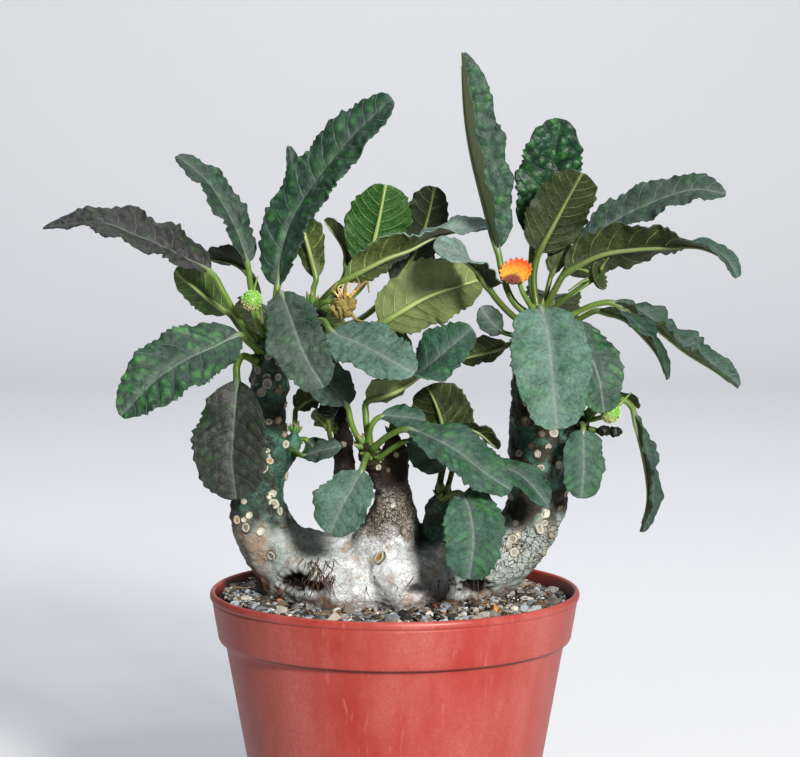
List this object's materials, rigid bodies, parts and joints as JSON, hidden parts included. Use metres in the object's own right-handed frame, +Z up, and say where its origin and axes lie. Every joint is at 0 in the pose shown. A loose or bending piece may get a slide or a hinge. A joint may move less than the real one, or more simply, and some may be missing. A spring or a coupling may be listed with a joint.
{
  "type": "potted dorstenia foetida",
  "caption": "Caudex plant with a swollen silvery base, scarred stems and rosettes of long wavy leaves, standing in gritty soil in a round tapered plastic pot.",
  "frame": {"origin": "centre of the pot's flat base, on the surface that it stands on", "axes": "+Z up along the pot's axis, -Y towards the viewer of the picture, +X to the viewer's right"},
  "size_m": [0.2269, 0.1328, 0.2726],
  "materials": {
    "leaf_green": "quilted green upper sides with a waxy bloom",
    "leaf_olive": "olive undersides with raised pale veins",
    "leaf_dark": "dark green, shaded inner leaves",
    "leaf_purple": "grey-purple frosted upper sides",
    "pot_plastic": "injection-moulded polypropylene, terracotta red, scuffed and dusty",
    "mineral_soil": "loose mineral grit, matt",
    "bark": "silvery fissured bark with pale leaf scars",
    "flower_flesh": "fleshy fuzzy green flower heads",
    "flower_orange": "ripe orange flower disc",
    "flower_dry": "dry papery brown flower head"
  },
  "bodies": {
    "root": {"pot": "pot_plastic", "soil": "mineral_soil", "caudex": "bark", "leaf_left_reach": "leaf_purple", "leaf_left_upper": "leaf_green", "leaf_left_top": "leaf_green", "leaf_left_olive": "leaf_olive", "leaf_left_arch": "leaf_dark", "leaf_left_low": "leaf_green", "leaf_left_hanging": "leaf_purple", "leaf_left_front": "leaf_purple", "leaf_left_back": "leaf_green", "leaf_rear_tall": "leaf_olive", "leaf_rear_thin": "leaf_dark", "leaf_rear_long": "leaf_olive", "leaf_rear_round": "leaf_green", "leaf_rear_erect": "leaf_dark", "leaf_rear_olive": "leaf_olive", "leaf_rear_small": "leaf_dark", "leaf_rear_front": "leaf_purple", "leaf_rear_back": "leaf_green", "leaf_inner_brown": "leaf_olive", "leaf_inner_pale": "leaf_olive", "leaf_inner_green": "leaf_green", "leaf_inner_grey": "leaf_purple", "leaf_neck_left": "leaf_purple", "leaf_neck_bright": "leaf_green", "leaf_neck_short": "leaf_green", "leaf_neck_right": "leaf_green", "leaf_neck_under": "leaf_purple", "leaf_neck_front": "leaf_green", "leaf_foot_dark": "leaf_dark", "leaf_foot_narrow": "leaf_dark", "leaf_foot_right": "leaf_green", "leaf_foot_front": "leaf_green", "leaf_right_front": "leaf_green", "leaf_right_second": "leaf_green", "leaf_right_serrate": "leaf_green", "leaf_right_low": "leaf_green", "leaf_right_arch": "leaf_olive", "leaf_right_upper": "leaf_green", "leaf_right_top": "leaf_green", "leaf_right_brown": "leaf_olive", "leaf_right_tall": "leaf_dark", "leaf_right_inward": "leaf_purple", "leaf_right_small": "leaf_purple", "leaf_right_dark": "leaf_dark", "leaf_right_between": "leaf_dark", "leaf_right_back": "leaf_green", "leaf_side_hanging": "leaf_green", "leaf_side_round": "leaf_green", "leaf_side_strip": "leaf_dark", "flower_left_green": "flower_flesh", "flower_rear_dry": "flower_dry", "flower_inner_star": "flower_flesh", "flower_right_orange": "flower_orange", "flower_right_green": "flower_flesh", "flower_side_green": "flower_flesh", "flower_side_dark": "leaf_dark"}
  },
  "joints": []
}
